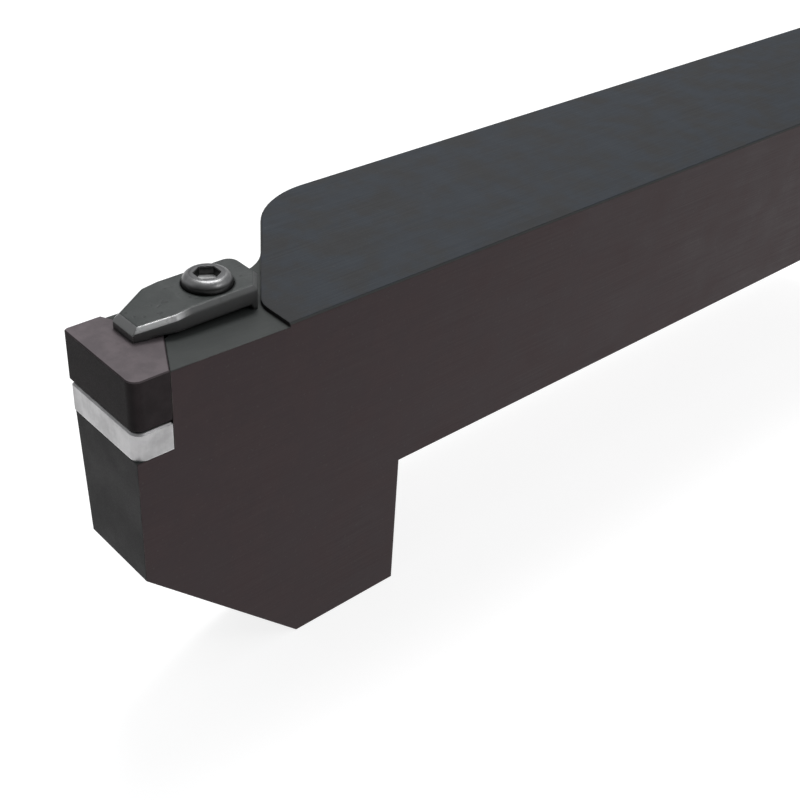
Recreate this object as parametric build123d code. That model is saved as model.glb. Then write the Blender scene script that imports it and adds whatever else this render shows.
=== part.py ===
"""Turning tool holder: square shank, deep-bellied head, block insert on a shim, finger clamp.

Tool coordinates while modelling, in millimetres: X = 0 is the right-hand side face, negative to
the left; Y = 0 is the front face, positive towards the rear end of the shank; Z = 0 is the top of
the shank and of the insert. Each solid is moved at the end so that the origin lies at the middle
of the shank's underside seat.
"""
import os
from math import cos, radians, tan

from build123d import *

# ---- shank and head ---------------------------------------------------------------------------
SHANK_WIDTH = 25.0
SHANK_HEIGHT = 25.0
TOTAL_LENGTH = 150.0
HEAD_WIDTH = 12.1              # width of the narrow head at its top
HEAD_RELIEF_ANGLE = 3.7        # the head's left side leans in below the cutting edge, degrees
NECK_ANGLE = 36.3              # angle of the oblique wall from head to shank, to the X axis, degrees
NECK_START = 23.7              # where the oblique wall leaves the head's left side, from the front
NECK_ROUND = 12.0              # rounding from the oblique wall into the shank's left side
NECK_ROOT = 6.5                # radius of the corner between head and oblique wall
EDGE_BREAK = 0.2               # chamfer along the shank's outer edges

# ---- belly under the head ---------------------------------------------------------------------
BELLY_DEPTH = 18.45            # below the shank's underside
HEAD_FRONT_HEIGHT = 24.3       # height of the front face, down to the sloped bottom
BELLY_TOE = 19.7               # where the sloped bottom reaches full depth, from the front
BELLY_END = 34.7               # rear wall of the belly, from the front
BELLY_EDGE_BREAK = 0.15

# ---- clamp floor: shallow recess on top of the head, falling gently from the front edge --------
FLOOR_DEPTH = 0.45             # at the cross wall
STEP_FROM_FRONT = 18.5         # cross wall up to the shank's top
STEP_ROUND = 3.5               # rounding between the cross wall and the oblique wall

# ---- insert and shim --------------------------------------------------------------------------
INSERT_OVERHANG = 0.4          # beyond the head's left side; flush with its right side
INSERT_THICKNESS = 6.0
INSERT_FLANK = 4.2             # length of the insert's right-hand straight side
INSERT_BACK_ANGLE = 28.0       # each half of the V-shaped back leans forward by this, degrees
NOSE_RADIUS = 1.2              # working corner of insert and shim, at the right
SPARE_CORNER_RADIUS = 0.5      # their left front corner
INSERT_EDGE_LAND = 0.12        # small chamfer along the cutting edges
INSERT_FOOT_CHAMFER = 0.4      # round the insert's underside
SHIM_THICKNESS = 3.18
SHIM_EDGE_BREAK = 0.2          # round the shim's top
POCKET_CLEARANCE = 0.05        # between the V-shaped backs and the pocket walls
POCKET_RELIEF_RADIUS = 0.9     # relief hole down the root of the pocket's V

# ---- shim screw (M3 countersunk) --------------------------------------------------------------
SHIM_SCREW_FROM_FRONT = 3.7
SHIM_SCREW_DIAMETER = 3.0
SHIM_SCREW_HEAD = 5.5
SHIM_SCREW_SINK = 0.3          # head lies this far below the shim's top
SHIM_SCREW_REACH = 6.0         # length below the shim
SHIM_SCREW_HEX = 2.0
SHIM_SCREW_HEX_DEPTH = 1.0

# ---- clamp ------------------------------------------------------------------------------------
CLAMP_CENTRE = -8.5            # X of the clamp's and the screw's axis
CLAMP_WIDTH = 7.1
CLAMP_TOP = 2.2                # above the shank's top
CLAMP_TIP_FROM_FRONT = 4.0
CLAMP_TIP_WIDTH = 3.65
CLAMP_TIP_OFFSET = 0.63        # the tip stands this far to the right of the clamp's axis
CLAMP_TIP_THICKNESS = 1.5
CLAMP_TIP_BEVEL = 0.7          # across the tip's front edge
CLAMP_SHOULDER = 8.5           # where the clamp reaches its full width, from the front
CLAMP_SLOPE_END = 10.4         # where the falling top of the finger starts, from the front
CLAMP_PAD_LENGTH = 1.6         # stretch of the finger that bears on the insert
CLAMP_ARCH = 0.25              # height of the relieved underside above the insert's top
CLAMP_BEVEL = 0.45
CLAMP_REAR_ROUND = 1.6         # left rear corner
HEEL_END = 20.0                # rear end of the clamp, from the front
HEEL_TO_WALL = 0.3             # gap from the clamp's oblique rear corner to the oblique wall
HEEL_LENGTH = 2.4
KEY_LENGTH = 1.5               # key under the heel, along Y
KEY_WIDTH = 3.0
KEY_FROM_HEEL_END = 0.6
KEY_DEPTH = 3.0                # below the clamp floor, more than the lift
KEY_CLEARANCE = 0.05
KEY_SLOT_EXTRA = 0.5           # the slot is this much deeper than the key

# ---- clamp screw (M4) and lifting spring ------------------------------------------------------
SCREW_FROM_FRONT = 14.4
SCREW_DIAMETER = 4.0
SCREW_HEAD = 5.3
SCREW_HEAD_HEIGHT = 2.0
SCREW_HEAD_SINK = 0.8          # depth of the head's seat below the clamp's top
SCREW_HEAD_ROUND = 0.7
SCREW_REACH = 14.4             # length under the head
SCREW_TIP_CHAMFER = 0.5
SCREW_HEX = 2.5
SCREW_HEX_DEPTH = 1.0
SCREW_CLEARANCE = 0.1          # radial, in the clamp
THREAD_CLEARANCE = 0.05        # radial, in the tapped holes
TAP_EXTRA = 2.0                # a tapped hole is this much deeper than its screw
HEAD_SEAT_CLEARANCE = 0.1      # radial, round a screw head
SPRING_WIRE = 0.35
SPRING_BORE_CLEARANCE = 0.1    # radial, between screw and coil
SPRING_POCKET_CLEARANCE = 0.1  # radial, between coil and pocket
SPRING_POCKET_DEPTH = 5.0      # below the clamp floor
SPRING_TURNS = 5
SPRING_WIRE_SIDES = 8          # the thin wire's section is a near-round octagon

OVERRUN = 1.0                  # cutting shapes reach this far past what they cut

# ---- places worked out from the sizes above ---------------------------------------------------
BOTTOM = -SHANK_HEIGHT
BELLY_BOTTOM = BOTTOM - BELLY_DEPTH
FLOOR = -FLOOR_DEPTH
SHIM_TOP = -INSERT_THICKNESS
POCKET_FLOOR = SHIM_TOP - SHIM_THICKNESS
INSERT_WIDTH = HEAD_WIDTH + INSERT_OVERHANG
MIDDLE = -INSERT_WIDTH / 2
INSERT_APEX = INSERT_FLANK + INSERT_WIDTH / 2 * tan(radians(INSERT_BACK_ANGLE))
NECK_SLOPE = tan(radians(NECK_ANGLE))
SPRING_INNER = SCREW_DIAMETER / 2 + SPRING_BORE_CLEARANCE
SPRING_OUTER = SPRING_INNER + SPRING_WIRE
SPRING_FLOOR = FLOOR - SPRING_POCKET_DEPTH
HEAD_SEAT = CLAMP_TOP - SCREW_HEAD_SINK
SEAT_MIDDLE = (BELLY_END + TOTAL_LENGTH) / 2
TO_SEAT_ORIGIN = Pos(SHANK_WIDTH / 2, -SEAT_MIDDLE, SHANK_HEIGHT)


def prism_up(points, low, high):
    """Outline in X and Y, standing from height low to height high."""
    return extrude(Pos(0, 0, low) * Polygon(*points, align=None), high - low, dir=(0, 0, 1))


def prism_across(points, left, right):
    """Outline in Y and Z, running across from X = left to X = right."""
    face = Plane.YZ.offset(left) * Polygon(*points, align=None)
    return extrude(face, right - left, dir=(1, 0, 0))


def prism_back(points, front, rear):
    """Outline in X and Z, running back from Y = front to Y = rear."""
    face = Plane.XZ.offset(-front) * Polygon(*points, align=None)
    return extrude(face, rear - front, dir=(0, 1, 0))


def rod(x, y, low, high, radius):
    """Upright cylinder from height low to height high."""
    return Pos(x, y, low) * extrude(Circle(radius), high - low)


def corner(face, x, y):
    """The corner of a flat outline that lies nearest to a point."""
    return face.vertices().sort_by_distance((x, y, 0))[0]


def neck_y(x):
    """Distance from the front at which the oblique wall crosses X = x."""
    return NECK_START - (x + HEAD_WIDTH) * NECK_SLOPE


def floor_z(y):
    """Height of the clamp floor at a distance from the front."""
    return -FLOOR_DEPTH * y / STEP_FROM_FRONT


def house(width, clearance=0.0):
    """Plan outline of insert, shim and pocket: straight front and sides, V-shaped back."""
    shift = clearance / cos(radians(INSERT_BACK_ANGLE))
    left_side = INSERT_APEX - (width + MIDDLE) * tan(radians(INSERT_BACK_ANGLE)) + shift
    right_side = INSERT_FLANK + shift
    return [(0, 0), (0, right_side), (MIDDLE, INSERT_APEX + shift), (-width, left_side), (-width, 0)]


def shank_plan():
    """Plan of the shank with its oblique front end, as a flat face."""
    knee = (-SHANK_WIDTH, neck_y(-SHANK_WIDTH))
    outline = [(0, neck_y(0)), (0, TOTAL_LENGTH), (-SHANK_WIDTH, TOTAL_LENGTH), knee]
    face = Polygon(*outline, align=None)
    return fillet(corner(face, *knee), NECK_ROUND)


def floor_plan():
    """Plan of the clamp floor, in front of the cross wall and the oblique wall."""
    knee = (-HEAD_WIDTH + (NECK_START - STEP_FROM_FRONT) / NECK_SLOPE, STEP_FROM_FRONT)
    right, left = OVERRUN, -SHANK_WIDTH - OVERRUN
    outline = [(right, -OVERRUN), (right, STEP_FROM_FRONT), knee, (left, neck_y(left)), (left, -OVERRUN)]
    face = Polygon(*outline, align=None)
    return fillet(corner(face, *knee), STEP_ROUND)


def above_floor():
    """Everything over the clamp floor that is milled away."""
    left = -SHANK_WIDTH - OVERRUN
    front, rear = -OVERRUN, neck_y(left)
    side = [(front, floor_z(front)), (rear, floor_z(rear)), (rear, OVERRUN), (front, OVERRUN)]
    plan = Pos(0, 0, floor_z(rear)) * floor_plan()
    return prism_across(side, left, OVERRUN) & extrude(plan, OVERRUN - floor_z(rear), dir=(0, 0, 1))


def blank():
    """Shank, head and belly before the pocket and holes are cut."""
    shank = extrude(Pos(0, 0, BELLY_BOTTOM) * shank_plan(), -BELLY_BOTTOM)
    lean = -BELLY_BOTTOM * tan(radians(HEAD_RELIEF_ANGLE))
    head_section = [(0, 0), (0, BELLY_BOTTOM), (-HEAD_WIDTH + lean, BELLY_BOTTOM), (-HEAD_WIDTH, 0)]
    body = shank + prism_back(head_section, 0, NECK_START)
    root_x = -HEAD_WIDTH + lean / 2
    root = body.edges().sort_by_distance((root_x, neck_y(root_x), BELLY_BOTTOM / 2))[0]
    body = fillet(root, NECK_ROOT)
    side = [
        (0, 0),
        (0, -HEAD_FRONT_HEIGHT),
        (BELLY_TOE, BELLY_BOTTOM),
        (BELLY_END, BELLY_BOTTOM),
        (BELLY_END, BOTTOM),
        (TOTAL_LENGTH, BOTTOM),
        (TOTAL_LENGTH, 0),
    ]
    return body & prism_across(side, -SHANK_WIDTH, 0)


def broken_edges(body):
    """Chamfers along the shank's four long edges and round its rear end, then round the belly."""
    long_edges = body.edges().filter_by(Axis.Y).filter_by(lambda e: e.length > TOTAL_LENGTH / 2)
    end_edges = body.faces().sort_by(Axis.Y)[-1].edges()
    body = chamfer(long_edges + end_edges, EDGE_BREAK)
    sole = body.faces().sort_by(Axis.Z)[0]
    return chamfer(sole.edges(), BELLY_EDGE_BREAK)


def make_holder():
    body = broken_edges(blank())
    body -= above_floor()
    body -= prism_up(house(INSERT_WIDTH, POCKET_CLEARANCE), POCKET_FLOOR, OVERRUN)
    relief = INSERT_APEX - POCKET_RELIEF_RADIUS / 2
    body -= rod(MIDDLE, relief, POCKET_FLOOR, OVERRUN, POCKET_RELIEF_RADIUS)
    shim_tap = SHIM_SCREW_DIAMETER / 2 + THREAD_CLEARANCE
    shim_tap_end = POCKET_FLOOR - SHIM_SCREW_REACH - TAP_EXTRA
    body -= rod(MIDDLE, SHIM_SCREW_FROM_FRONT, shim_tap_end, POCKET_FLOOR, shim_tap)
    tap = SCREW_DIAMETER / 2 + THREAD_CLEARANCE
    tap_end = HEAD_SEAT - SCREW_REACH - TAP_EXTRA
    body -= rod(CLAMP_CENTRE, SCREW_FROM_FRONT, tap_end, OVERRUN, tap)
    spring_pocket = SPRING_OUTER + SPRING_POCKET_CLEARANCE
    body -= rod(CLAMP_CENTRE, SCREW_FROM_FRONT, SPRING_FLOOR, OVERRUN, spring_pocket)
    return body - key_block(KEY_CLEARANCE, FLOOR - KEY_DEPTH - KEY_SLOT_EXTRA, OVERRUN)


def key_block(clearance, low, high):
    """The key under the clamp's heel, or with a clearance the slot that it drops into."""
    x0 = CLAMP_CENTRE - KEY_WIDTH / 2 - clearance
    x1 = CLAMP_CENTRE + KEY_WIDTH / 2 + clearance
    y0 = HEEL_END - KEY_FROM_HEEL_END - KEY_LENGTH - clearance
    y1 = HEEL_END - KEY_FROM_HEEL_END + clearance
    return prism_up([(x0, y0), (x1, y0), (x1, y1), (x0, y1)], low, high)


def house_block(width, low, high):
    """Block of the insert's plan with its two front corners rounded."""
    body = prism_up(house(width), low, high)
    nose = body.edges().filter_by(Axis.Z).sort_by_distance((0, 0, low))[0]
    body = fillet(nose, NOSE_RADIUS)
    spare = body.edges().filter_by(Axis.Z).sort_by_distance((-width, 0, low))[0]
    return fillet(spare, SPARE_CORNER_RADIUS)


def make_insert():
    body = house_block(INSERT_WIDTH, SHIM_TOP, 0)
    body = chamfer(body.faces().sort_by(Axis.Z)[0].edges(), INSERT_FOOT_CHAMFER)
    return chamfer(body.faces().sort_by(Axis.Z)[-1].edges(), INSERT_EDGE_LAND)


def make_shim():
    body = house_block(HEAD_WIDTH, POCKET_FLOOR, SHIM_TOP)
    body = chamfer(body.faces().sort_by(Axis.Z)[-1].edges(), SHIM_EDGE_BREAK)
    x, y = MIDDLE, SHIM_SCREW_FROM_FRONT
    body -= rod(x, y, POCKET_FLOOR, SHIM_TOP, SHIM_SCREW_DIAMETER / 2 + THREAD_CLEARANCE)
    head = SHIM_SCREW_HEAD / 2 + THREAD_CLEARANCE
    neck = SHIM_SCREW_DIAMETER / 2 + THREAD_CLEARANCE
    rim = SHIM_TOP - SHIM_SCREW_SINK
    body -= rod(x, y, rim, SHIM_TOP, head)
    depth = head - neck
    body -= Pos(x, y, rim - depth / 2) * Cone(neck, head, depth)
    return body


def hex_socket(x, y, top, width, depth):
    """Hexagonal socket of a given width across flats, sunk from height top."""
    return Pos(x, y, top - depth) * extrude(RegularPolygon(width / 2, 6, major_radius=False), depth)


def make_shim_screw():
    x, y = MIDDLE, SHIM_SCREW_FROM_FRONT
    top = SHIM_TOP - SHIM_SCREW_SINK
    head, stem = SHIM_SCREW_HEAD / 2, SHIM_SCREW_DIAMETER / 2
    depth = head - stem
    body = Pos(x, y, top - depth / 2) * Cone(stem, head, depth)
    body += rod(x, y, POCKET_FLOOR - SHIM_SCREW_REACH, top - depth, stem)
    return body - hex_socket(x, y, top, SHIM_SCREW_HEX, SHIM_SCREW_HEX_DEPTH)


def is_across_top(edge):
    """True for the crease where the finger's falling top meets the flat top."""
    return abs(edge.center().Y - CLAMP_SLOPE_END) < CLAMP_BEVEL and abs(edge.tangent_at(0.5).X) > 0.9


def make_clamp():
    tip = CLAMP_TIP_FROM_FRONT
    right, left = CLAMP_CENTRE + CLAMP_WIDTH / 2, CLAMP_CENTRE - CLAMP_WIDTH / 2
    tip_middle = CLAMP_CENTRE + CLAMP_TIP_OFFSET
    tip_right, tip_left = tip_middle + CLAMP_TIP_WIDTH / 2, tip_middle - CLAMP_TIP_WIDTH / 2
    # the right rear corner is cut off parallel to the oblique wall
    wall_shift = HEEL_TO_WALL / cos(radians(NECK_ANGLE))
    corner_y = neck_y(right) - wall_shift
    corner_x = right - (HEEL_END - corner_y) / NECK_SLOPE
    plan = [
        (tip_left, tip),
        (tip_right, tip),
        (right, CLAMP_SHOULDER),
        (right, corner_y),
        (corner_x, HEEL_END),
        (left, HEEL_END),
        (left, CLAMP_SHOULDER),
    ]
    side = [
        (tip, 0),
        (tip + CLAMP_PAD_LENGTH, 0),
        (tip + CLAMP_PAD_LENGTH + CLAMP_ARCH, CLAMP_ARCH),
        (HEEL_END - HEEL_LENGTH - CLAMP_ARCH, CLAMP_ARCH),
        (HEEL_END - HEEL_LENGTH, floor_z(HEEL_END - HEEL_LENGTH)),
        (HEEL_END, floor_z(HEEL_END)),
        (HEEL_END, CLAMP_TOP),
        (CLAMP_SLOPE_END, CLAMP_TOP),
        (tip + CLAMP_TIP_BEVEL, CLAMP_TIP_THICKNESS),
        (tip, CLAMP_TIP_THICKNESS - CLAMP_TIP_BEVEL),
    ]
    body = prism_up(plan, floor_z(HEEL_END), CLAMP_TOP) & prism_across(side, left, right)
    rear_left = body.edges().filter_by(Axis.Z).sort_by_distance((left, HEEL_END, CLAMP_TOP / 2))[0]
    body = fillet(rear_left, CLAMP_REAR_ROUND)
    tops = body.faces().filter_by(lambda f: f.normal_at().Z > 0.9 and f.center().Z > CLAMP_ARCH)
    inside = tip + 2 * CLAMP_TIP_BEVEL
    rims = tops.edges().filter_by(lambda e: e.center().Y > inside and not is_across_top(e))
    body = chamfer(rims, CLAMP_BEVEL)
    body += key_block(0, FLOOR - KEY_DEPTH, CLAMP_ARCH)
    through = SCREW_DIAMETER / 2 + SCREW_CLEARANCE
    body -= rod(CLAMP_CENTRE, SCREW_FROM_FRONT, FLOOR, CLAMP_TOP, through)
    seat = SCREW_HEAD / 2 + HEAD_SEAT_CLEARANCE
    return body - rod(CLAMP_CENTRE, SCREW_FROM_FRONT, HEAD_SEAT, CLAMP_TOP, seat)


def make_clamp_screw():
    x, y = CLAMP_CENTRE, SCREW_FROM_FRONT
    top = HEAD_SEAT + SCREW_HEAD_HEIGHT
    head = rod(x, y, HEAD_SEAT, top, SCREW_HEAD / 2)
    head = fillet(head.edges().sort_by(Axis.Z)[-1], SCREW_HEAD_ROUND)
    stem = rod(x, y, HEAD_SEAT - SCREW_REACH, HEAD_SEAT, SCREW_DIAMETER / 2)
    stem = chamfer(stem.edges().sort_by(Axis.Z)[0], SCREW_TIP_CHAMFER)
    return head + stem - hex_socket(x, y, top, SCREW_HEX, SCREW_HEX_DEPTH)


def make_clamp_spring():
    """Coil round the clamp screw, from the floor of its pocket to the clamp's arch."""
    radius = (SPRING_INNER + SPRING_OUTER) / 2
    height = CLAMP_ARCH - SPRING_FLOOR - SPRING_WIRE
    line = Helix(pitch=height / SPRING_TURNS, height=height, radius=radius)
    wire = RegularPolygon(SPRING_WIRE / 2, SPRING_WIRE_SIDES)
    section = Plane(origin=line @ 0, z_dir=line % 0) * wire
    coil = sweep(section, path=line, is_frenet=True)
    return Pos(CLAMP_CENTRE, SCREW_FROM_FRONT, SPRING_FLOOR + SPRING_WIRE / 2) * coil


PIECES = {
    "holder": make_holder,
    "shim": make_shim,
    "shim_screw": make_shim_screw,
    "insert": make_insert,
    "clamp": make_clamp,
    "clamp_screw": make_clamp_screw,
    "clamp_spring": make_clamp_spring,
}

os.makedirs("parts", exist_ok=True)
for name, make in PIECES.items():
    export_step(TO_SEAT_ORIGIN * make(), f"parts/{name}.step")
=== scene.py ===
from math import ceil, cos, pi, radians, sin, tau

import bmesh
import bpy
from mathutils import Matrix, Vector


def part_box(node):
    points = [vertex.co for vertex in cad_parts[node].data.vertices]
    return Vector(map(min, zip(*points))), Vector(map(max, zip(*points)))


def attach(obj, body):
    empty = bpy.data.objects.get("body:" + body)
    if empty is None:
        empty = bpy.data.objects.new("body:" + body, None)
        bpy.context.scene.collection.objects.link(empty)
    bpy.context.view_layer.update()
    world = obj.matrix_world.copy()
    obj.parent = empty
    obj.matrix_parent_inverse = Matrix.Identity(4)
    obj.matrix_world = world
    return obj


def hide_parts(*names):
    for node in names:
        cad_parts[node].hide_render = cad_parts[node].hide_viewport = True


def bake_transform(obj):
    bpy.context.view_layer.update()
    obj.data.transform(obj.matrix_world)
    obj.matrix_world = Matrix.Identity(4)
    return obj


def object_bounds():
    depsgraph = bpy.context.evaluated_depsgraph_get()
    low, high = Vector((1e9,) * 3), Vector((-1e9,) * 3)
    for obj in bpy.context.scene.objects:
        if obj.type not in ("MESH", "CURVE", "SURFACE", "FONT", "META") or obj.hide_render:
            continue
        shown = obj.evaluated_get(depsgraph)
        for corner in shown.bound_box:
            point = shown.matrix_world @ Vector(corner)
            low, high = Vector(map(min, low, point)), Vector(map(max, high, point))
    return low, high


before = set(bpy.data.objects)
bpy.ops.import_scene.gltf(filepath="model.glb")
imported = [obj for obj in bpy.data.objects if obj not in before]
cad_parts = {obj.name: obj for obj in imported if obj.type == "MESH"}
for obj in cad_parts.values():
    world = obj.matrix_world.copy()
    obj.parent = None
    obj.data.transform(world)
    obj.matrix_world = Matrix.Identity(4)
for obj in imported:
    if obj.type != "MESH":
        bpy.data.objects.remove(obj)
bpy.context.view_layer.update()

MM = 0.001


def show(thing):
    """Put a new object into the scene."""
    bpy.context.scene.collection.objects.link(thing)
    return thing


def direction(azimuth, elevation):
    """Unit vector for an azimuth that turns from -Y towards +X and an elevation, in radians."""
    level = cos(elevation)
    return Vector((sin(azimuth) * level, -cos(azimuth) * level, sin(elevation)))


def nose_point():
    """The cutting corner: the insert's front right top corner."""
    low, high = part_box("insert")
    return Vector((high.x, low.y, high.z))


# ---- camera: from the front right and above, as close to the cutting corner as a product shot ---
AZIMUTH = radians(46.328)
ELEVATION = radians(34.578)
ROLL = radians(3.661)
SENSOR_MM = 36.0
LENS_MM = 57.51
CAMERA_FROM_NOSE = Vector((0.087124, -0.048864, 0.067043))
NEAREST_SEEN, FARTHEST_SEEN = 0.005, 20.0


def make_camera():
    back = direction(AZIMUTH, ELEVATION)
    right = Vector((cos(AZIMUTH), sin(AZIMUTH), 0.0))
    up = back.cross(right)
    right, up = cos(ROLL) * right + sin(ROLL) * up, cos(ROLL) * up - sin(ROLL) * right
    data = bpy.data.cameras.new("camera")
    data.sensor_width = SENSOR_MM
    data.lens = LENS_MM
    data.clip_start = NEAREST_SEEN
    data.clip_end = FARTHEST_SEEN
    camera = show(bpy.data.objects.new("camera", data))
    turned = Matrix((right, up, back)).transposed().to_4x4()
    camera.matrix_world = Matrix.Translation(nose_point() + CAMERA_FROM_NOSE) @ turned
    bpy.context.scene.camera = camera


# ---- node materials ------------------------------------------------------------------------------
UP, DOWN, FRONT, REAR = (0, 0, 1), (0, 0, -1), (0, -1, 0), (0, 1, 0)
MIDDLE = (0.35, 0.65)           # the middle of a noise's values
FULL = (0.3, 0.7)               # nearly all of them


def linear(red, green, blue):
    """Shader colour for screen values of 0 to 255."""
    def one(value):
        value /= 255
        return value / 12.92 if value <= 0.04045 else ((value + 0.055) / 1.055) ** 2.4
    return (one(red), one(green), one(blue), 1.0)


def grey(value):
    return linear(value, value, value)


class Paint:
    """A material under construction; a call that works out a value returns its output socket."""

    def __init__(self, name):
        self.material = bpy.data.materials.new(name)
        self.material.use_nodes = True
        self.tree = self.material.node_tree
        self.shader = self.tree.nodes["Principled BSDF"]
        self.place = self.add("ShaderNodeTexCoord").outputs["Object"]

    def add(self, kind, **settings):
        node = self.tree.nodes.new(kind)
        for key, value in settings.items():
            setattr(node, key, value)
        return node

    def feed(self, socket, value):
        """Link a socket to an output, or give it a plain value."""
        if isinstance(value, bpy.types.NodeSocket):
            self.tree.links.new(value, socket)
        else:
            socket.default_value = value

    def set(self, **inputs):
        """Feed the shader's inputs; a name's underscore stands for a space."""
        for key, value in inputs.items():
            self.feed(self.shader.inputs[key.replace("_", " ")], value)

    def math(self, operation, a, b=0.0):
        node = self.add("ShaderNodeMath", operation=operation)
        self.feed(node.inputs[0], a)
        self.feed(node.inputs[1], b)
        return node.outputs[0]

    def plus(self, a, b):
        return self.math("ADD", a, b)

    def minus(self, a, b):
        return self.math("SUBTRACT", a, b)

    def times(self, product, *factors):
        for factor in factors:
            product = self.math("MULTIPLY", product, factor)
        return product

    def vector(self, operation, a, b):
        node = self.add("ShaderNodeVectorMath", operation=operation)
        self.feed(node.inputs[0], a)
        self.feed(node.inputs[1], b)
        return node.outputs["Value" if operation == "DOT_PRODUCT" else "Vector"]

    def mix(self, share, a, b):
        """Colour a where the share is 0, colour b where it is 1."""
        node = self.add("ShaderNodeMix", data_type="RGBA")
        self.feed(node.inputs["Factor"], share)
        self.feed(node.inputs["A"], a)
        self.feed(node.inputs["B"], b)
        return node.outputs["Result"]

    def blend(self, share, a, b):
        """Number a where the share is 0, number b where it is 1."""
        node = self.add("ShaderNodeMix", data_type="FLOAT")
        self.feed(node.inputs[0], share)
        self.feed(node.inputs[2], a)
        self.feed(node.inputs[3], b)
        return node.outputs[0]

    def span(self, value, low, high, start=0.0, end=1.0):
        """Value between low and high, turned into start to end with soft ends."""
        node = self.add("ShaderNodeMapRange", interpolation_type="SMOOTHSTEP")
        for socket, setting in zip(node.inputs, (value, low, high, start, end)):
            self.feed(socket, setting)
        return node.outputs[0]

    def noise(self, feature, detail, roughness, stretch=(1, 1, 1)):
        """Noise with features of a size in millimetres, longer along an axis by its stretch."""
        node = self.add("ShaderNodeTexNoise")
        self.feed(node.inputs["Vector"], self.vector("DIVIDE", self.place, stretch))
        self.feed(node.inputs["Scale"], 1 / (feature * MM))
        self.feed(node.inputs["Detail"], detail)
        self.feed(node.inputs["Roughness"], roughness)
        return node.outputs["Fac"]

    def axis(self, name):
        """Distance along X, Y or Z in the piece's own frame."""
        node = self.add("ShaderNodeSeparateXYZ")
        self.feed(node.inputs[0], self.place)
        return node.outputs[name]

    def normal(self):
        return self.add("ShaderNodeNewGeometry").outputs["True Normal"]

    def facing(self, way, low, high):
        """1 where the surface faces a way and 0 where it doesn't, between two cosines."""
        return self.span(self.vector("DOT_PRODUCT", self.normal(), way), low, high)

    def rounded(self, radius, samples=6):
        """Normal of the surface with its edges rounded by a radius in millimetres."""
        node = self.add("ShaderNodeBevel", samples=samples)
        self.feed(node.inputs["Radius"], radius * MM)
        return node.outputs[0]

    def edges(self, radius, low, high):
        """1 along the edges within a radius in millimetres, 0 on the flats."""
        same = self.vector("DOT_PRODUCT", self.rounded(radius, samples=8), self.normal())
        return self.span(self.minus(1.0, same), low, high)

    def bumps(self, layers, under=None):
        """Lay heights over each other and over a normal, each with its depth in millimetres."""
        for height, depth in layers:
            node = self.add("ShaderNodeBump")
            self.feed(node.inputs["Height"], height)
            self.feed(node.inputs["Distance"], depth * MM)
            if under is not None:
                self.feed(node.inputs["Normal"], under)
            under = node.outputs[0]
        self.set(Normal=under)


SHANK_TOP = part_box("holder")[1].z
BELOW_TOP = (SHANK_TOP - 0.08 * MM, SHANK_TOP - 0.04 * MM)     # between it and the head's floor


def black_oxide():
    """Blackened tool steel with faint grinding lines along the bar.

    It is painted blue-black and lighter on its upward faces than on the brown-black sides, as
    light falls on them from above; the head's lower floor is painted a lighter grey still, against
    the clamp's shade, and the mill-cut faces at the front a darker neutral, as shade.
    """
    p = Paint("black_oxide_steel")
    cloud = p.noise(5.0, 5, 0.6)
    fleck = p.noise(0.35, 2, 0.6)
    lines = p.noise(0.09, 3, 0.6, stretch=(1, 160, 1))
    clouded = p.span(cloud, 0.4, 0.62)
    # Painted light: the upward faces get a lighter, bluer copy of the steel than the sides.
    top = p.mix(clouded, linear(24, 32, 41), linear(33, 34, 36))
    # Painted light: the head's lower floor is painted a lighter grey, to lift the clamp's shade on
    # it.
    top = p.mix(p.span(p.axis("Z"), *BELOW_TOP, 1.0, 0.0), top, linear(55, 58, 57))
    shaded_side = p.mix(clouded, linear(45, 31, 34), linear(51, 37, 39))
    colour = p.mix(p.facing(UP, 0.3, 0.8), shaded_side, top)
    colour = p.mix(p.span(fleck, 0.62, 0.8, 0, 0.3), colour, linear(70, 68, 66))
    wear_and_sheen = p.times(p.edges(0.3, 0.02, 0.3), p.span(p.noise(1.3, 4, 0.65), *MIDDLE))
    colour = p.mix(p.times(wear_and_sheen, 0.55), colour, linear(96, 94, 92))
    # Painted shade: the front faces get a darker colour for the shade they stand in; their rougher
    # mill finish is real.
    milled_shaded_front = p.facing(FRONT, 0.4, 0.8)
    colour = p.mix(milled_shaded_front, colour, linear(30, 29, 30))
    rough = p.plus(p.span(cloud, *FULL, 0.5, 0.6), p.span(lines, *FULL, -0.05, 0.05))
    rough = p.plus(rough, p.times(milled_shaded_front, 0.15))
    rough = p.minus(rough, p.times(wear_and_sheen, 0.12))
    p.set(Base_Color=colour, Roughness=rough, Metallic=p.times(wear_and_sheen, 0.6), Specular_IOR_Level=0.22)
    p.bumps(((lines, 0.004), (fleck, 0.006), (cloud, 0.02)), p.rounded(0.22))
    return p.material


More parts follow.
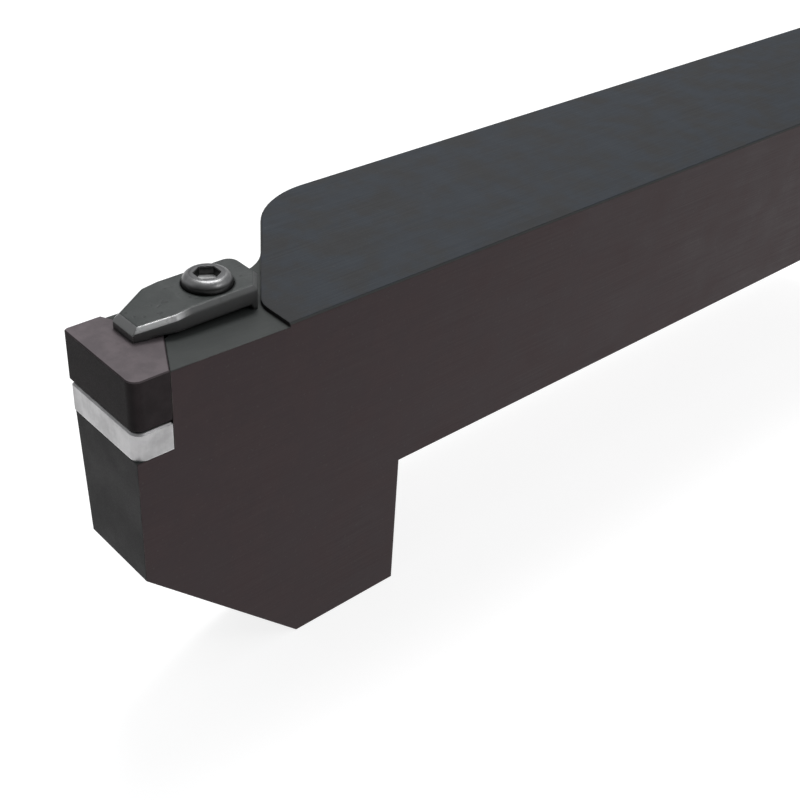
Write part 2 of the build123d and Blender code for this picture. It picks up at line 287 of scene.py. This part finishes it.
def coated_carbide():
    """Ground and dark-coated carbide: greyer top, nearly black flanks, fine sintered grain."""
    p = Paint("coated_carbide")
    cloud = p.span(p.noise(2.2, 4, 0.6), *MIDDLE)
    grain = p.noise(0.12, 3, 0.65)
    lines = p.noise(0.07, 2, 0.5, stretch=(40, 1, 1))
    top = p.mix(cloud, linear(94, 87, 90), linear(105, 97, 100))
    flank = p.mix(cloud, linear(27, 20, 22), linear(36, 29, 31))
    colour = p.mix(p.facing(UP, 0.55, 0.9), flank, top)
    # Painted shade: faces turned down, such as the foot chamfer, are painted nearly black.
    colour = p.mix(p.facing(DOWN, 0.2, 0.6), colour, linear(6, 5, 5))
    # Painted shade: the front flank is painted darker than the other flanks; it is also rougher.
    front = p.facing(FRONT, 0.4, 0.9)
    colour = p.mix(p.times(front, 0.6), colour, linear(10, 8, 9))
    colour = p.mix(p.span(grain, 0.6, 0.8, 0, 0.2), colour, linear(100, 94, 92))
    honed = p.times(p.edges(0.1, 0.02, 0.2), p.span(grain, 0.3, 0.6))
    colour = p.mix(p.times(honed, 0.5), colour, linear(122, 116, 114))
    rough = p.plus(p.span(grain, *FULL, 0.4, 0.54), p.times(front, 0.18))
    p.set(Base_Color=colour, Roughness=rough, Specular_IOR_Level=0.1)
    p.bumps(((grain, 0.003), (lines, 0.003)), p.rounded(0.06))
    return p.material


def bare_carbide():
    """Uncoated ground carbide: light grey with upright grinding lines and painted highlights on
    edges.
    """
    p = Paint("bare_carbide")
    cloud = p.noise(3.0, 4, 0.6)
    grain = p.noise(0.1, 3, 0.7)
    lines = p.noise(0.06, 2, 0.5, stretch=(1, 1, 60))
    colour = p.mix(p.span(cloud, *MIDDLE), linear(160, 159, 160), linear(184, 183, 184))
    colour = p.mix(p.span(grain, 0.55, 0.8, 0, 0.35), colour, linear(130, 129, 130))
    # Painted highlight: the edges are lightened towards white, in patches.
    wear_and_sheen = p.times(p.edges(0.25, 0.02, 0.2), p.span(cloud, 0.3, 0.6, 0.4, 1.0))
    colour = p.mix(p.times(wear_and_sheen, 0.8), colour, grey(238))
    p.set(Base_Color=colour, Roughness=p.span(lines, *FULL, 0.34, 0.5), Metallic=0.55)
    p.bumps(((grain, 0.003), (lines, 0.003)), p.rounded(0.08))
    return p.material


CLAMP_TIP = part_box("clamp")[0].y
# Its bevels carry a painted highlight on bare metal, fading out between these two points.
BRIGHT_TIP = (CLAMP_TIP + 3.5 * MM, CLAMP_TIP + 6.5 * MM)      # where its bright edges fade


def clamp_steel():
    """Forged clamp: dull greenish-black skin with small pits, sides painted lighter than the top
    against their shade, and its bevels bare metal with a painted highlight near the tip.
    """
    p = Paint("dark_clamp_steel")
    up = p.facing(UP, 0.5, 0.95)
    cloud = p.noise(2.0, 4, 0.6)
    skin = p.noise(0.5, 3, 0.6)
    pits = p.times(p.span(p.noise(0.7, 1, 0.4), 0.26, 0.38, 1, 0), up)
    top = p.mix(p.span(cloud, *MIDDLE), linear(36, 41, 40), linear(47, 51, 50))
    # Painted light: the sides get a lighter grey than the top, to lift the shade they stand in.
    colour = p.mix(up, grey(76), top)
    colour = p.mix(p.times(pits, 0.55), colour, linear(20, 22, 22))
    bevel = p.times(p.facing(UP, 0.5, 0.65), p.facing(DOWN, -0.9, -0.8))
    worn_and_highlit = p.math("MAXIMUM", bevel, p.edges(0.2, 0.03, 0.3))
    near_tip = p.span(p.axis("Y"), *BRIGHT_TIP, 1.0, 0.06)
    not_front = p.facing(REAR, -0.9, -0.3)
    # Partly wear, partly painted highlight: bare metal on the bevels, bright near the tip only.
    wear_and_sheen = p.times(worn_and_highlit, p.span(skin, 0.1, 0.45), near_tip, not_front)
    colour = p.mix(p.times(wear_and_sheen, 0.9), colour, grey(210))
    rough = p.blend(wear_and_sheen, p.span(skin, *FULL, 0.42, 0.54), 0.34)
    p.set(Base_Color=colour, Roughness=rough, Metallic=p.blend(wear_and_sheen, 0.25, 0.9))
    p.bumps(((skin, 0.012), (pits, -0.012)), p.rounded(0.4, samples=10))
    return p.material


# Below these heights the clamp screw's head is painted dark, as shade at its foot.
BRIGHT_HEAD = (27.7 * MM, 28.05 * MM)      # heights where the clamp screw's head turns bright
SOCKET_REACH = (1.44 * MM, 1.46 * MM)      # from its axis to the corners of its socket
# Inside the socket, walls and floor carry painted shade and painted light.
SOCKET_MOUTH = (0.2 * MM, 0.1 * MM)        # depths where the socket's walls turn dark


def screw_steel():
    """Screw steel: blackened below, rubbed bright on the head, with painted light and shade.

    The head's foot is painted dark as shade, its flat top darker than its rounded rim so the rim
    shows a painted highlight, and its socket has painted-dark walls over a painted lit floor.
    """
    p = Paint("dark_screw_steel")
    cloud = p.noise(1.0, 4, 0.6)
    fleck = p.noise(0.2, 3, 0.6)
    bright = p.span(p.axis("Z"), *BRIGHT_HEAD)
    low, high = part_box("clamp_screw")
    across = p.minus(p.axis("X"), (low.x + high.x) / 2)
    along = p.minus(p.axis("Y"), (low.y + high.y) / 2)
    reach = p.math("SQRT", p.plus(p.math("POWER", across, 2.0), p.math("POWER", along, 2.0)))
    sunk = p.span(p.axis("Z"), *(high.z - depth for depth in SOCKET_MOUTH), 1.0, 0.0)
    inside = p.times(p.span(reach, *SOCKET_REACH, 1.0, 0.0), sunk)
    # Painted light and shade in the socket: walls nearly black, the upward floor nearly white and
    # not metal.
    socket = p.mix(p.facing(UP, 0.3, 0.9), grey(14), grey(235))
    colour = p.mix(p.span(cloud, *MIDDLE), linear(124, 124, 125), grey(138))
    # Painted highlight: the flat top is darker than the rounded rim, so the rim stands out bright.
    colour = p.mix(p.facing(UP, 0.93, 0.99), colour, linear(88, 88, 89))
    # Painted shade: below those heights the head's foot is as dark as the blackened stem.
    colour = p.mix(bright, grey(22), colour)
    colour = p.mix(inside, colour, socket)
    wear_and_sheen = p.times(p.edges(0.12, 0.02, 0.3), p.span(fleck, 0.35, 0.6))
    colour = p.mix(p.times(wear_and_sheen, 0.5), colour, grey(150))
    metal = p.times(p.blend(bright, 0.2, 0.9), p.minus(1.0, inside))
    p.set(Base_Color=colour, Roughness=p.span(fleck, *FULL, 0.3, 0.4), Metallic=metal)
    p.bumps(((fleck, 0.003),), p.rounded(0.05))
    return p.material


def spring_steel():
    """Bright drawn wire with draw lines that run level, as its coils do."""
    p = Paint("spring_steel")
    cloud = p.noise(0.8, 4, 0.6)
    lines = p.noise(0.05, 2, 0.5, stretch=(8, 8, 1))
    colour = p.mix(p.span(cloud, *MIDDLE), linear(150, 150, 153), linear(184, 184, 186))
    p.set(Base_Color=colour, Roughness=p.span(lines, *FULL, 0.22, 0.36), Metallic=1.0)
    p.bumps(((lines, 0.003),))
    return p.material


def floor_paper():
    """Plain pale studio floor that glows a little, so that shadows on it stay faint."""
    p = Paint("floor_paper")
    p.set(Base_Color=p.mix(p.noise(40.0, 3, 0.5), grey(158), grey(164)), Roughness=0.9)
    p.set(Specular_IOR_Level=0.1, Emission_Color=(1, 1, 1, 1), Emission_Strength=0.83)
    p.bumps(((p.noise(0.8, 3, 0.6), 0.01),))
    return p.material


# ---- finer pieces --------------------------------------------------------------------------------
CREASE = radians(32)           # edges sharper than this stay sharp
SAME_POINT = 1e-7
SIDES = 72                     # points round a screw
ROWS_PER_PITCH = 10            # rings of a thread in one pitch


def make_piece(name, rings, node, finish, threaded=0):
    """Smooth piece made of rings, shown in place of a CAD node, with its material slot."""
    mesh = grid_mesh(name, rings, threaded)
    bm = bmesh.new()
    bm.from_mesh(mesh)
    bmesh.ops.remove_doubles(bm, verts=bm.verts, dist=SAME_POINT)
    bmesh.ops.recalc_face_normals(bm, faces=bm.faces)
    bm.to_mesh(mesh)
    bm.free()
    mesh.polygons.foreach_set("use_smooth", [True] * len(mesh.polygons))
    mesh.set_sharp_from_angle(angle=CREASE)
    mesh.materials.append(finish)
    piece = show(bpy.data.objects.new(name, mesh))
    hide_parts(node)
    return piece


def grid_mesh(name, rings, threaded):
    """Mesh of rings of points, each joined to the next; the first and last are capped.

    The first rings, as many as are threaded, climb a pitch a turn. So each of them meets the one
    that lies a pitch later where its turn ends.
    """
    count = len(rings[0])
    points = [point for row in rings for point in row]

    def closing(row):
        return min(row + ROWS_PER_PITCH, threaded - 1) if row < threaded else row

    faces = []
    for row in range(len(rings) - 1):
        a, b = row * count, (row + 1) * count
        for step in range(count - 1):
            faces.append((a + step, a + step + 1, b + step + 1, b + step))
        faces.append((b - 1, closing(row) * count, closing(row + 1) * count, b + count - 1))
    faces.append(tuple(reversed(range(count))))
    faces.append(tuple(range(len(points) - count, len(points))))
    mesh = bpy.data.meshes.new(name)
    mesh.from_pydata(points, [], faces)
    mesh.update()
    return mesh


def ring(centre, radius, height):
    """Ring of points; the radius may be a number or a function of the angle."""
    points = []
    for step in range(SIDES):
        angle = tau * step / SIDES
        reach = radius(angle) if callable(radius) else radius
        points.append((centre.x + reach * cos(angle), centre.y + reach * sin(angle), height))
    return points


def hexagon(across_flats):
    """Radius of a hexagon at an angle, with its corners on the angles 0, 60, ..."""
    def reach(angle):
        return across_flats / 2 / cos(angle % (pi / 3) - pi / 6)
    return reach


CREST, FLANK = 0.14, 0.62      # of half a pitch: the flat crest, and the slope down to the root
TIP_CUT = 1.15                 # what the 45-degree chamfer takes off the tip, in thread depths


def thread_depth(share, depth):
    """Depth of the thread below its crest, at a share of one pitch."""
    from_crest = abs((share % 1.0) - 0.5) * 2
    return depth * min(max((from_crest - CREST) / FLANK, 0.0), 1.0)


def thread_rings(centre, low, high, radius, pitch, depth):
    """Rings that follow a right-hand thread, cut flat at the tip and running out at the top."""
    rings = []
    rows = ceil((high - low) / pitch + 1) * ROWS_PER_PITCH
    for row in range(-ROWS_PER_PITCH, rows + 1):
        points = []
        for step in range(SIDES):
            angle = tau * step / SIDES
            height = min(max(low + (row / ROWS_PER_PITCH + step / SIDES) * pitch, low), high)
            turns = (height - low) / pitch - step / SIDES
            fade = min(1.0, (high - height) / pitch)
            reach = radius - thread_depth(turns, depth) * fade
            reach = min(reach, radius - depth * TIP_CUT + (height - low))
            points.append((centre.x + reach * cos(angle), centre.y + reach * sin(angle), height))
        rings.append(points)
    return rings


SOCKET_DEPTH = 1.0 * MM
SOCKET_LEAD = 0.06 * MM        # how far the mouth's chamfer reaches out
DRILL_REACH = 0.42             # radius of the drilled cone in a socket's floor, in socket widths
DRILL_DEPTH = 0.2              # and its depth
DRILL_POINT = 0.02 * MM


def socket_rings(centre, top, rim, across_flats):
    """From the rim of a screw's flat top down into its hexagonal socket with a drilled cone."""
    hexed = hexagon(across_flats)
    corner = across_flats / 2 / cos(pi / 6)
    floor = top - SOCKET_DEPTH

    def lead_in(angle):
        return max(hexed(angle), min(corner, hexed(angle) + SOCKET_LEAD))

    return [
        ring(centre, rim, top),
        ring(centre, lead_in, top),
        ring(centre, hexed, top - 2 * SOCKET_LEAD),
        ring(centre, hexed, floor),
        ring(centre, across_flats * DRILL_REACH, floor),
        ring(centre, DRILL_POINT, floor - across_flats * DRILL_DEPTH),
    ]


RIM = 0.02 * MM                # from a head's edge to the rim of its flat top
DOME_STEPS = 12


def make_clamp_screw(finish):
    """Threaded screw with a domed socket head, M4 x 0.7."""
    low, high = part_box("clamp_screw")
    centre = (low + high) / 2
    stem, pitch, thread, runout = 2.0 * MM, 0.7 * MM, 0.42 * MM, 1.6 * MM
    head, head_height, socket = (high.x - low.x) / 2, 2.0 * MM, 2.5 * MM
    edge, dome = 1.05 * MM, 1.0 * MM       # width and height of the curve round the head's top
    foot = 0.12 * MM                       # chamfer under the head
    seat = high.z - head_height
    rings = thread_rings(centre, low.z, seat - runout, stem, pitch, thread)
    threaded = len(rings)
    rings += [
        ring(centre, stem, seat),
        ring(centre, head - foot, seat),
        ring(centre, head, seat + foot),
    ]
    for step in range(DOME_STEPS + 1):
        turn = pi / 2 * step / DOME_STEPS
        rings.append(ring(centre, head - edge + edge * cos(turn), high.z - dome + dome * sin(turn)))
    rings += socket_rings(centre, high.z, head - edge - RIM, socket)
    piece = make_piece(
        "clamp_screw_threaded", rings, "clamp_screw", finish, threaded
    )
    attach(piece, "clamp_screw")


def make_shim_screw(finish):
    """Threaded screw with a countersunk socket head, M3 x 0.5."""
    low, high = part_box("shim_screw")
    centre = (low + high) / 2
    stem, pitch, thread, runout = 1.5 * MM, 0.5 * MM, 0.3 * MM, 1.4 * MM
    head, socket = (high.x - low.x) / 2, 2.0 * MM
    land = 0.15 * MM                       # upright band above the head's cone
    neck = high.z - (head - stem)
    rings = thread_rings(centre, low.z, neck - runout, stem, pitch, thread)
    threaded = len(rings)
    rings += [
        ring(centre, stem, neck),
        ring(centre, head - land, high.z - land),
        ring(centre, head - land, high.z),
    ]
    rings += socket_rings(centre, high.z, head - land - RIM, socket)
    piece = make_piece(
        "shim_screw_threaded", rings, "shim_screw", finish, threaded
    )
    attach(piece, "holder")


WIRE = 0.35 * MM
WIRE_SIDES = 14
COILS = 5.0
CLOSED_COILS = 0.9             # at each end
ROWS_PER_COIL = 60
CLOSED_PITCH = 1.7             # rise of a closed coil, in wire radii
GROUND_END = 0.7               # from a ground end to the middle of its wire, in wire radii


def make_spring(finish):
    """Round-wire coil with closed, ground ends, between its pocket and the clamp."""
    low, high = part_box("clamp_spring")
    centre = (low + high) / 2
    wire = WIRE / 2
    radius = (high.x - low.x) / 2 - wire
    bottom, top = low.z + wire * GROUND_END, high.z - wire * GROUND_END
    flat = CLOSED_COILS * wire * CLOSED_PITCH
    rings = []
    for row in range(int(COILS * ROWS_PER_COIL) + 1):
        turn = row / ROWS_PER_COIL
        if turn < CLOSED_COILS:
            height = bottom + flat * turn / CLOSED_COILS
        elif turn > COILS - CLOSED_COILS:
            height = top - flat * (COILS - turn) / CLOSED_COILS
        else:
            share = (turn - CLOSED_COILS) / (COILS - 2 * CLOSED_COILS)
            height = bottom + flat + (top - bottom - 2 * flat) * share
        outward = Vector((cos(tau * turn), sin(tau * turn), 0.0))
        points = []
        for step in range(WIRE_SIDES):
            about = tau * step / WIRE_SIDES
            point = outward * (radius + wire * cos(about))
            point.z = min(max(height + wire * sin(about), low.z), high.z)
            points.append((centre.x + point.x, centre.y + point.y, point.z))
        rings.append(points)
    piece = make_piece("clamp_spring_wire", rings, "clamp_spring", finish)
    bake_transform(piece)


# ---- studio --------------------------------------------------------------------------------------
FLOOR_SIZE = 3.0
FLOOR_GAP = 0.02 * MM


def make_floor():
    half, height = FLOOR_SIZE / 2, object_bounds()[0].z - FLOOR_GAP
    corners = [(x * half, y * half, height) for x, y in ((-1, -1), (1, -1), (1, 1), (-1, 1))]
    mesh = bpy.data.meshes.new("floor")
    mesh.from_pydata(corners, [], [(0, 1, 2, 3)])
    mesh.materials.append(floor_paper())
    floor = show(bpy.data.objects.new("floor", mesh))


def make_light(name, azimuth, elevation, distance, width, height, watts):
    """Soft rectangular light, aimed at the cutting corner from a direction in degrees."""
    data = bpy.data.lights.new(name, "AREA")
    data.shape = "RECTANGLE"
    data.size, data.size_y = width, height
    data.energy = watts
    light = show(bpy.data.objects.new(name, data))
    out = direction(radians(azimuth), radians(elevation))
    light.location = nose_point() + out * distance
    light.rotation_euler = out.to_track_quat("Z", "Y").to_euler()


DARK_SIDE = (0.7, -0.7, 0.1)   # the unlit end of the studio, in front of the head
WALL_FADE = (0.2, 0.85)        # how far towards it the walls start and end darkening
LIT_WALL = (0.496, 0.504, 0.512, 1)
UNLIT_WALL = (0.048, 0.048, 0.048, 1)
BACKDROP = (1, 1, 1, 1)


def make_world():
    """Studio room: soft white, falling off towards its unlit end; the camera sees a backdrop."""
    world = bpy.data.worlds.new("studio")
    bpy.context.scene.world = world
    world.use_nodes = True
    tree = world.node_tree
    place = tree.nodes.new("ShaderNodeTexCoord")
    along = tree.nodes.new("ShaderNodeVectorMath")
    along.operation = "DOT_PRODUCT"
    along.inputs[1].default_value = DARK_SIDE
    ramp = tree.nodes.new("ShaderNodeValToRGB")
    for stop, position, colour in zip(ramp.color_ramp.elements, WALL_FADE, (LIT_WALL, UNLIT_WALL)):
        stop.position = position
        stop.color = colour
    path = tree.nodes.new("ShaderNodeLightPath")
    seen = tree.nodes.new("ShaderNodeMix")
    seen.data_type = "RGBA"
    seen.inputs["B"].default_value = BACKDROP
    background = tree.nodes["Background"]
    background.inputs["Strength"].default_value = 1.0
    for output, socket in (
        (place.outputs["Generated"], along.inputs[0]),
        (along.outputs["Value"], ramp.inputs[0]),
        (path.outputs["Is Camera Ray"], seen.inputs["Factor"]),
        (ramp.outputs[0], seen.inputs["A"]),
        (seen.outputs["Result"], background.inputs["Color"]),
    ):
        tree.links.new(output, socket)


make_camera()
finishes = {
    "holder": black_oxide(),
    "shim": bare_carbide(),
    "insert": coated_carbide(),
    "clamp": clamp_steel(),
}
for node, finish in finishes.items():
    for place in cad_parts[node].material_slots:
        place.material = finish
dark_steel = screw_steel()
make_clamp_screw(dark_steel)
make_shim_screw(dark_steel)
make_spring(spring_steel())
make_floor()
make_world()
make_light("top_back", 226, 62, distance=0.7, width=0.3, height=0.22, watts=2.9)
make_light("rear_left", 225, 36, distance=0.8, width=0.5, height=0.25, watts=0.4)
make_light("right", 118, 42, distance=0.8, width=0.3, height=0.25, watts=0.6)
bpy.context.scene.view_settings.view_transform = "Standard"
